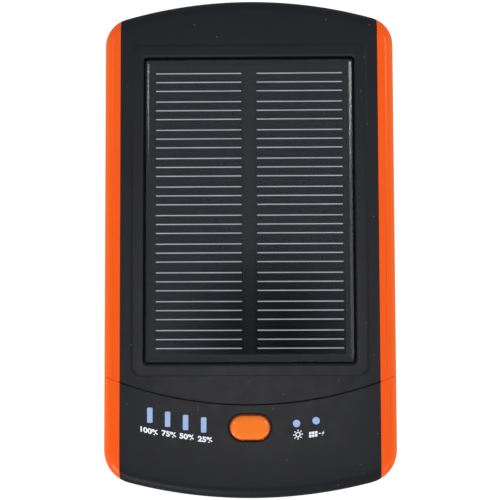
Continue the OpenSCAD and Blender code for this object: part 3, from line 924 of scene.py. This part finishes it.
def panel_resin():
    """Clear slab with rolled edges, open below for the two columns of cells."""
    base = PANEL_LO.z + 0.01
    loops = [panel_rect(0, PANEL_CORNER_R, PANEL_W, PANEL_L, base)]
    for inset, z in resin_profile():
        corner_r = max(PANEL_CORNER_R, inset + 0.3)
        loops.append(panel_rect(-inset, corner_r, PANEL_W, PANEL_L, z))
    slab = loft("panel_resin_slab", loops)
    cells_lo, cells_hi = box_mm("solar_cells")
    fingers_hi = box_mm("cell_fingers")[1]
    inner_x = 1.4
    side_gap, end_gap, top_gap = 0.2, 0.15, 0.02
    for sx in (-1, 1):
        xs = sorted((sx * inner_x, sx * (cells_hi.x + side_gap)))
        lo = (xs[0], cells_lo.y - end_gap, base - THROUGH)
        hi = (xs[1], cells_hi.y + end_gap, fingers_hi.z + top_gap)
        combine(slab, box("column", lo, hi), "DIFFERENCE")
    return finish_piece(slab, RESIN, replaces=["panel_resin"])


# ---------------------------------------------------------------- controls

def power_button():
    """Cap with a pillowed crown, a flange inside the cover and a stem for the switch."""
    crown_h, crown_w = 1.0, 1.5
    flange_t = 0.9
    hollow_w, hollow_d, hollow_top = 6.8, 4.3, PLATE_Z + 0.8
    stem_r, stem_z = 1.2, PLATE_Z + 0.2
    centre = (0, BUTTON_Y)
    loops = [at(button_outline(0), BUTTON_LO.z + flange_t / 2, centre)]
    for a in quarter_turn(12):
        z = BUTTON_HI.z - crown_h * (1 - math.sin(a))
        loops.append(at(button_outline(-crown_w * (1 - math.cos(a))), z, centre))
    cap = loft("power_button_cap", loops)
    flange = button_outline(FLANGE_OUT)
    combine(cap, prism("flange", flange, BUTTON_LO.z, BUTTON_LO.z + flange_t, centre), "UNION")
    hollow = box("hollow", (-hollow_w / 2, BUTTON_Y - hollow_d / 2, BUTTON_LO.z - THROUGH),
                 (hollow_w / 2, BUTTON_Y + hollow_d / 2, hollow_top))
    combine(cap, hollow, "DIFFERENCE")
    stem = cylinders("stem", stem_r, stem_z, hollow_top + JOIN, [Vector(centre)])
    combine(cap, stem, "UNION")
    return finish_piece(cap, BUTTON_ORANGE, BUTTON, ["power_button"])


def guide_foot(name, places, offset, width):
    """The band under a row of windows."""
    end_w = 1.7
    foot_t = 1.2
    xs = [p.x for p in places]
    inner, outer = (
        seam_part(offset + grow, min(xs) - end_w, max(xs) + end_w, 16)
        for grow in (-width / 2, width / 2)
    )
    return prism(name, outer + list(reversed(inner)), PLATE_Z - foot_t, PLATE_Z)


def light_guide(name, node, places, offset, width, outline):
    """A moulding whose bars fill the windows, with slightly rounded ends."""
    edge_r = 0.15
    top = box_mm(node)[1].z
    guide = guide_foot(name, places, offset, width)
    bm = bmesh.new()
    for p in places:
        loops = [at(outline(0), PLATE_Z - JOIN, p)]
        for a in quarter_turn(4):
            z = top - edge_r * (1 - math.sin(a))
            loops.append(at(outline(-edge_r * (1 - math.cos(a))), z, p))
        add_loft(bm, loops)
    combine(guide, new_object("bars", bm), "UNION")
    return finish_piece(guide, WINDOW_BLUE, replaces=[node])


# ---------------------------------------------------------------- printing

INK_T = 0.012
INK_LIFT = 0.004


def place_print(obj, place, degrees):
    """Lays flat ink on the cover, sloping like the row it belongs to."""
    slope = math.tan(math.radians(degrees))
    for v in obj.data.vertices:
        v.co.y += slope * v.co.x
        v.co += Vector((place.x, place.y, INK_LIFT))
        v.co.z += crown_z(HALF_W - abs(v.co.x))
    return finish_piece(obj, INK)


def number_label(text, place, degrees):
    """Generic percent figures as thin raised ink."""
    flatten = 0.83
    curve = bpy.data.curves.new("label_" + text.strip("%"), "FONT")
    curve.body = text
    curve.size = 2.2
    curve.offset = 0.085
    curve.extrude = 0.008
    curve.align_x = "CENTER"
    curve.align_y = "CENTER"
    obj = bpy.data.objects.new(curve.name, curve)
    bpy.context.scene.collection.objects.link(obj)
    graph = bpy.context.evaluated_depsgraph_get()
    mesh = bpy.data.meshes.new_from_object(obj.evaluated_get(graph), depsgraph=graph)
    bpy.data.objects.remove(obj)
    bm = bmesh.new()
    bm.from_mesh(mesh)
    bpy.data.meshes.remove(mesh)
    bmesh.ops.remove_doubles(bm, verts=bm.verts, dist=0.0001)
    label = new_object("print_" + text.strip("%") + "_percent", bm)
    label.data.transform(Matrix.Diagonal((1, flatten, 1, 1)))
    return place_print(label, place, degrees)


def add_ink(bm, points):
    """Thin ink from a closed outline."""
    add_loft(bm, [at(points, 0), at(points, INK_T)])


def bar(a, b, width):
    along = (b - a).normalized()
    side = Vector((-along.y, along.x)) * width / 2
    return [a - side, b - side, b + side, a + side]


def sun_icon(place, degrees):
    """A ring with eight rays."""
    ring_r, line_w = 0.56, 0.27
    ray_start, ray_end = 0.86, 1.26
    bm = bmesh.new()
    outer = circle(ring_r + line_w / 2, 28)
    inner = circle(ring_r - line_w / 2, 28)
    add_tube(bm, [at(outer, 0), at(outer, INK_T), at(inner, INK_T), at(inner, 0)])
    for k in range(8):
        a = math.radians(45 * k)
        out = Vector((math.cos(a), math.sin(a)))
        add_ink(bm, bar(out * ray_start, out * ray_end, line_w))
    return place_print(new_object("print_sun", bm), place, degrees)


def panel_icon(place, degrees):
    """A small grid of cells, a dash and a bolt, in place of a word."""
    cell, gap, first_x = 0.62, 0.14, -1.75
    dash_start, dash_end, dash_w = 0.42, 0.92, 0.24
    bolt_x = 1.45
    bolt = ((0.42, 0.72), (-0.28, -0.12), (0.06, -0.12), (-0.3, -0.74), (0.46, 0.12),
            (0.1, 0.12))
    bm = bmesh.new()
    for i in range(3):
        for j in range(2):
            x = first_x + i * (cell + gap)
            y = (j - 0.5) * (cell + gap)
            add_ink(bm, corners(x - cell / 2, x + cell / 2, y - cell / 2, y + cell / 2))
    add_ink(bm, [Vector((bolt_x + x, y)) for x, y in bolt])
    add_ink(bm, bar(Vector((dash_start, 0)), Vector((dash_end, 0)), dash_w))
    return place_print(new_object("print_panel", bm), place, degrees)


# ---------------------------------------------------------------- sockets and screws

def usb_shell(side):
    """Folded sheet shell with rounded corners, a flared mouth and two latch windows a face."""
    w, h = USB_HI.x - USB_LO.x, USB_HI.z - USB_LO.z
    centre = ((USB_LO.x + USB_HI.x) / 2, (USB_LO.z + USB_HI.z) / 2)
    sheet, outer_r, inner_r = 0.3, 0.5, 0.25
    flare, flare_l = 0.12, 0.4
    latch_x, latch_y, latch_half_w, latch_half_l = 3.1, USB_LO.y + 5.5, 0.9, 1.6
    cut_d = 0.5
    shell = loft("usb_shell", [along_y(rounded_rect(w, h, outer_r), y, centre)
                               for y in (USB_HI.y, USB_LO.y)])
    inner = [(USB_LO.y - THROUGH, flare), (USB_LO.y, flare), (USB_LO.y + flare_l, 0),
             (USB_HI.y - sheet, 0)]
    combine(shell, loft("inside", [
        along_y(rounded_rect(w - 2 * (sheet - grow), h - 2 * (sheet - grow), inner_r), y, centre)
        for y, grow in inner
    ]), "DIFFERENCE")
    bm = bmesh.new()
    for x in (centre[0] - latch_x, centre[0] + latch_x):
        points = corners(x - latch_half_w, x + latch_half_w,
                         latch_y - latch_half_l, latch_y + latch_half_l)
        for z in (USB_LO.z, USB_HI.z):
            add_loft(bm, [at(points, z - cut_d), at(points, z + cut_d)])
    combine(shell, new_object("latch_windows", bm), "DIFFERENCE")
    if side < 0:
        mirror_x(shell)
    word = "right" if side > 0 else "left"
    shell.name = "usb_shell_sheet_" + word
    return finish_piece(shell, STEEL, replaces=["usb_shell_" + word])


def micro_shell():
    """Small shell, narrower below, with a flared lip inside its mouth."""
    lo, hi = MICRO_LO, MICRO_HI
    centre = ((lo.x + hi.x) / 2, (lo.z + hi.z) / 2)
    sheet, mouth_sheet, cut = 0.3, 0.2, 0.7

    def outline(shrink):
        w = (hi.x - lo.x) / 2 - shrink
        h = (hi.z - lo.z) / 2 - shrink
        return [Vector(p) for p in ((-w, h), (-w, -h + cut), (-w + cut, -h), (w - cut, -h),
                                    (w, -h + cut), (w, h))]

    shell = loft("micro_usb_sheet", [along_y(outline(0), y, centre) for y in (lo.y, hi.y)])
    inner = [(lo.y - THROUGH, mouth_sheet), (lo.y, mouth_sheet), (lo.y + sheet, sheet),
             (hi.y - sheet, sheet)]
    combine(shell, loft("inside", [along_y(outline(s), y, centre) for y, s in inner]),
            "DIFFERENCE")
    return finish_piece(shell, STEEL, replaces=["micro_usb_shell"])


def cross_outline(half_l, half_w):
    """A plus sign about the origin, anticlockwise."""
    points = []
    for turn in range(4):
        rotation = Matrix.Rotation(math.radians(90 * turn), 2)
        points += [rotation @ Vector(p)
                   for p in ((half_l, -half_w), (half_l, half_w), (half_w, half_w))]
    return points


def housing_screws():
    """Pan-head screws with a cross recess and a ridged shaft."""
    lo, hi = box_mm("housing_screws")
    head_r, head_t, shaft_r, tip_r = 1.9, 1.3, 0.95, 0.4
    ridge_first, ridge_pitch, ridge_h, ridge_d, ridges = 0.5, 0.75, 0.6, 0.2, 9
    cross_half_l, cross_half_w, cross_d, cross_taper = 1.1, 0.25, 0.75, 0.55
    seat = lo.z + head_t
    # The head's rounded face: radius and height above its lowest point
    face = ((1.15, 0), (1.5, 0.05), (1.75, 0.18), (1.87, 0.38), (head_r, 0.6))
    profile = [(r, lo.z + rise) for r, rise in face]
    profile += [(head_r, seat), (shaft_r, seat + 0.001)]
    for i in range(ridges):
        z = seat + ridge_first + i * ridge_pitch
        root_r = shaft_r - ridge_d
        profile += [(root_r, z), (shaft_r, z + ridge_h / 2), (root_r, z + ridge_h)]
    profile.append((tip_r, hi.z))
    mouth = cross_outline(cross_half_l, cross_half_w)
    bottom = [p * cross_taper for p in mouth]
    bodies = bmesh.new()
    cross = bmesh.new()
    for place in SCREW_PLACES:
        add_loft(bodies, [at(circle(r, 28), z, place) for r, z in profile])
        add_loft(cross, [at(mouth, lo.z - THROUGH, place), at(mouth, lo.z, place),
                         at(bottom, lo.z + cross_d, place)])
    screws = new_object("housing_screw_set", bodies)
    combine(screws, new_object("cross", cross), "DIFFERENCE")
    return finish_piece(screws, SCREW_STEEL, replaces=["housing_screws"])


# ---------------------------------------------------------------- building

covers = [front_cover(), control_cover(), back_cover()]
for side in (1, -1):
    rail(side, above=True)
    rail(side, above=False)
    usb_shell(side)
panel_resin()
power_button()
light_guide("level_windows", "level_light_guide", LEVEL_PLACES, LEVEL_OUT,
            width=4.55, outline=window_outline)
light_guide("status_windows", "status_light_guide", STATUS_PLACES, STATUS_OUT,
            width=3.2, outline=status_outline)
micro_shell()
housing_screws()

# Each label's place: degrees right of the middle and distance outside the seam
LABELS = {"25%": (-6.08, 9.5), "50%": (-8.59, 9.4), "75%": (-11.01, 9.5), "100%": (-13.8, 9.8)}
SUN_DEGREES, SUN_OUT = 6.53, 8.34
PANEL_ICON_DEGREES, PANEL_ICON_OUT = 9.11, 8.8
for text, (degrees, out) in LABELS.items():
    number_label(text, on_arc(SEAM_R + out, degrees), degrees)
sun_icon(on_arc(SEAM_R + SUN_OUT, SUN_DEGREES), degrees=7)
panel_icon(on_arc(SEAM_R + PANEL_ICON_OUT, PANEL_ICON_DEGREES), degrees=8)

# The CAD nodes that stay as they are take a finish of their own.
FINISHES = {
    "solar_cells": SILICON, "cell_fingers": SILVER, "solar_board": BOARD_BLACK,
    "panel_tape": TAPE, "battery_tape": TAPE, "solar_leads": WIRE, "battery_leads": WIRE,
    "switch_body": STEEL, "switch_plunger": WHITE_PLASTIC, "level_leds": LED_BODY,
    "status_leds": LED_BODY, "main_board": BOARD_GREEN, "battery_board": BOARD_GREEN,
    "controller_chips": CHIP, "inductor": FERRITE, "capacitors": CAN,
    "usb_tongue_right": WHITE_PLASTIC, "usb_tongue_left": WHITE_PLASTIC,
    "usb_contacts": GOLD, "micro_usb_tongue": BLACK_PLASTIC, "battery_cell": FOIL,
}
for node, material in FINISHES.items():
    for slot in frame["nodes"][node].material_slots:
        slot.link = "OBJECT"
        slot.material = material


# ---------------------------------------------------------------- stage, light and camera

def floor():
    """A plain white table top, seen only from above, that stays white in the shade."""
    size = 3.0
    z = -0.00005
    corners = [(-size, -size, z), (size, -size, z), (size, size, z), (-size, size, z)]
    mesh = bpy.data.meshes.new("floor")
    mesh.from_pydata(corners, [], [(0, 1, 2, 3)])
    obj = bpy.data.objects.new("floor", mesh)
    bpy.context.scene.collection.objects.link(obj)
    n = Nodes("floor_white")
    n.set(Base_Color=(0.22, 0.22, 0.22, 1), Roughness=0.9, Specular_IOR_Level=0.0)
    n.set(Emission_Color=(1, 1, 1, 1), Emission_Strength=0.9)
    below = n.add("ShaderNodeNewGeometry").outputs["Backfacing"]
    n.blend(below, n.surface.outputs[0], n.add("ShaderNodeBsdfTransparent").outputs[0])
    mesh.materials.append(n.material)
    obj.visible_glossy = False


def lamp(name, place, size, power):
    """A square softbox at a place in metres, aimed at the object."""
    data = bpy.data.lights.new(name, "AREA")
    data.shape = "SQUARE"
    data.size = size
    data.energy = power
    obj = bpy.data.objects.new(name, data)
    bpy.context.scene.collection.objects.link(obj)
    obj.location = place
    obj.rotation_euler = Vector(place).to_track_quat("Z", "Y").to_euler()
    return obj


def sheen_lamp(receivers):
    """A small lamp beside the camera that gives only the black covers their sheen."""
    obj = lamp("lamp_sheen", (-0.01, -0.03, 0.6), 0.03, 0.75)
    group = bpy.data.collections.new("sheen_receivers")
    for receiver in receivers:
        group.objects.link(receiver)
    obj.light_linking.receiver_collection = group


CAMERA_DISTANCE = 0.35
CAMERA_TILT = math.radians(4.16)
CAMERA_SWING = math.radians(0.945)
CAMERA_ROLL = math.radians(-0.2)
CAMERA_AIM = Vector((0.0001, -0.00084, 0.0128))
CAMERA_AWAY = Vector((
    math.sin(CAMERA_SWING),
    -math.sin(CAMERA_TILT) * math.cos(CAMERA_SWING),
    math.cos(CAMERA_TILT) * math.cos(CAMERA_SWING),
))
CAMERA_PLACE = CAMERA_AIM + CAMERA_AWAY * CAMERA_DISTANCE


def camera():
    """Nearly straight above the front, leaning towards the sockets."""
    field = 0.13105
    data = bpy.data.cameras.new("camera")
    data.sensor_width = 36
    data.lens = data.sensor_width * CAMERA_DISTANCE / field
    data.clip_start = 0.01
    obj = bpy.data.objects.new("camera", data)
    bpy.context.scene.collection.objects.link(obj)
    obj.location = CAMERA_PLACE
    right = Vector((0, 1, 0)).cross(CAMERA_AWAY).normalized()
    up = CAMERA_AWAY.cross(right)
    level = Matrix((right, up, CAMERA_AWAY)).transposed().to_quaternion()
    obj.rotation_euler = (level @ Quaternion((0, 0, 1), CAMERA_ROLL)).to_euler()
    bpy.context.scene.camera = obj


def dark_lens():
    """The camera's own dark front, seen only as a soft dark reflection in the panel."""
    fade_r = 0.055
    centre = CAMERA_PLACE + Vector((0, 0, 0.005))
    disc = prism("dark_lens", circle(fade_r, 48), 0, 0.0005)
    disc.data.transform(Matrix.Translation(centre))
    n = Nodes("lens_black")
    n.set(Base_Color=(0.003, 0.003, 0.004, 1), Roughness=0.6, Specular_IOR_Level=0.0)
    away = n.add("ShaderNodeVectorMath", operation="DISTANCE")
    away.inputs[1].default_value = centre
    n.link(n.place, away.inputs[0])
    fade = n.spread(away.outputs["Value"], 0, 1, 0, fade_r)
    n.blend(fade, n.surface.outputs[0], n.add("ShaderNodeBsdfTransparent").outputs[0])
    disc.data.materials.append(n.material)
    disc.visible_camera = False
    disc.visible_diffuse = False
    disc.visible_shadow = False


def world():
    """An even, slightly blue studio: dark below the horizon and brightest straight above."""
    data = bpy.data.worlds.new("studio")
    data.use_nodes = True
    tree = data.node_tree
    place = tree.nodes.new("ShaderNodeTexCoord")
    parts = tree.nodes.new("ShaderNodeSeparateXYZ")
    tree.links.new(place.outputs["Generated"], parts.inputs[0])

    def rise(start, end, low, high):
        spread = tree.nodes.new("ShaderNodeMapRange")
        spread.interpolation_type = "SMOOTHSTEP"
        for socket, value in zip(("From Min", "From Max", "To Min", "To Max"),
                                 (start, end, low, high)):
            spread.inputs[socket].default_value = value
        tree.links.new(parts.outputs["Z"], spread.inputs["Value"])
        return spread.outputs["Result"]

    total = tree.nodes.new("ShaderNodeMath")
    tree.links.new(rise(-0.3, 0.3, 0.35, 0.74), total.inputs[0])
    tree.links.new(rise(0.90, 0.975, 0.0, 0.14), total.inputs[1])
    tree.links.new(total.outputs[0], tree.nodes["Background"].inputs["Strength"])
    tree.nodes["Background"].inputs["Color"].default_value = (0.94, 0.96, 1.10, 1)
    bpy.context.scene.world = data


floor()
# Each softbox: its name, place in metres, size and power
SOFTBOXES = (
    ("lamp_right_top", (0.60, 0.28, 0.60), 0.25, 1.6),
    ("lamp_right_middle", (0.62, 0.05, 0.60), 0.28, 0.35),
    ("lamp_left_top", (-0.60, 0.26, 0.60), 0.20, 0.6),
    ("lamp_left_bottom", (-0.65, -0.55, 0.25), 0.15, 2.4),
    ("lamp_right_bottom", (0.65, -0.55, 0.25), 0.15, 0.9),
    ("lamp_bottom", (-0.25, -0.80, 0.30), 0.30, 1.8),
)
for softbox in SOFTBOXES:
    lamp(*softbox)
sheen_lamp(covers)
dark_lens()
world()
camera()
bpy.context.scene.view_settings.view_transform = "Standard"
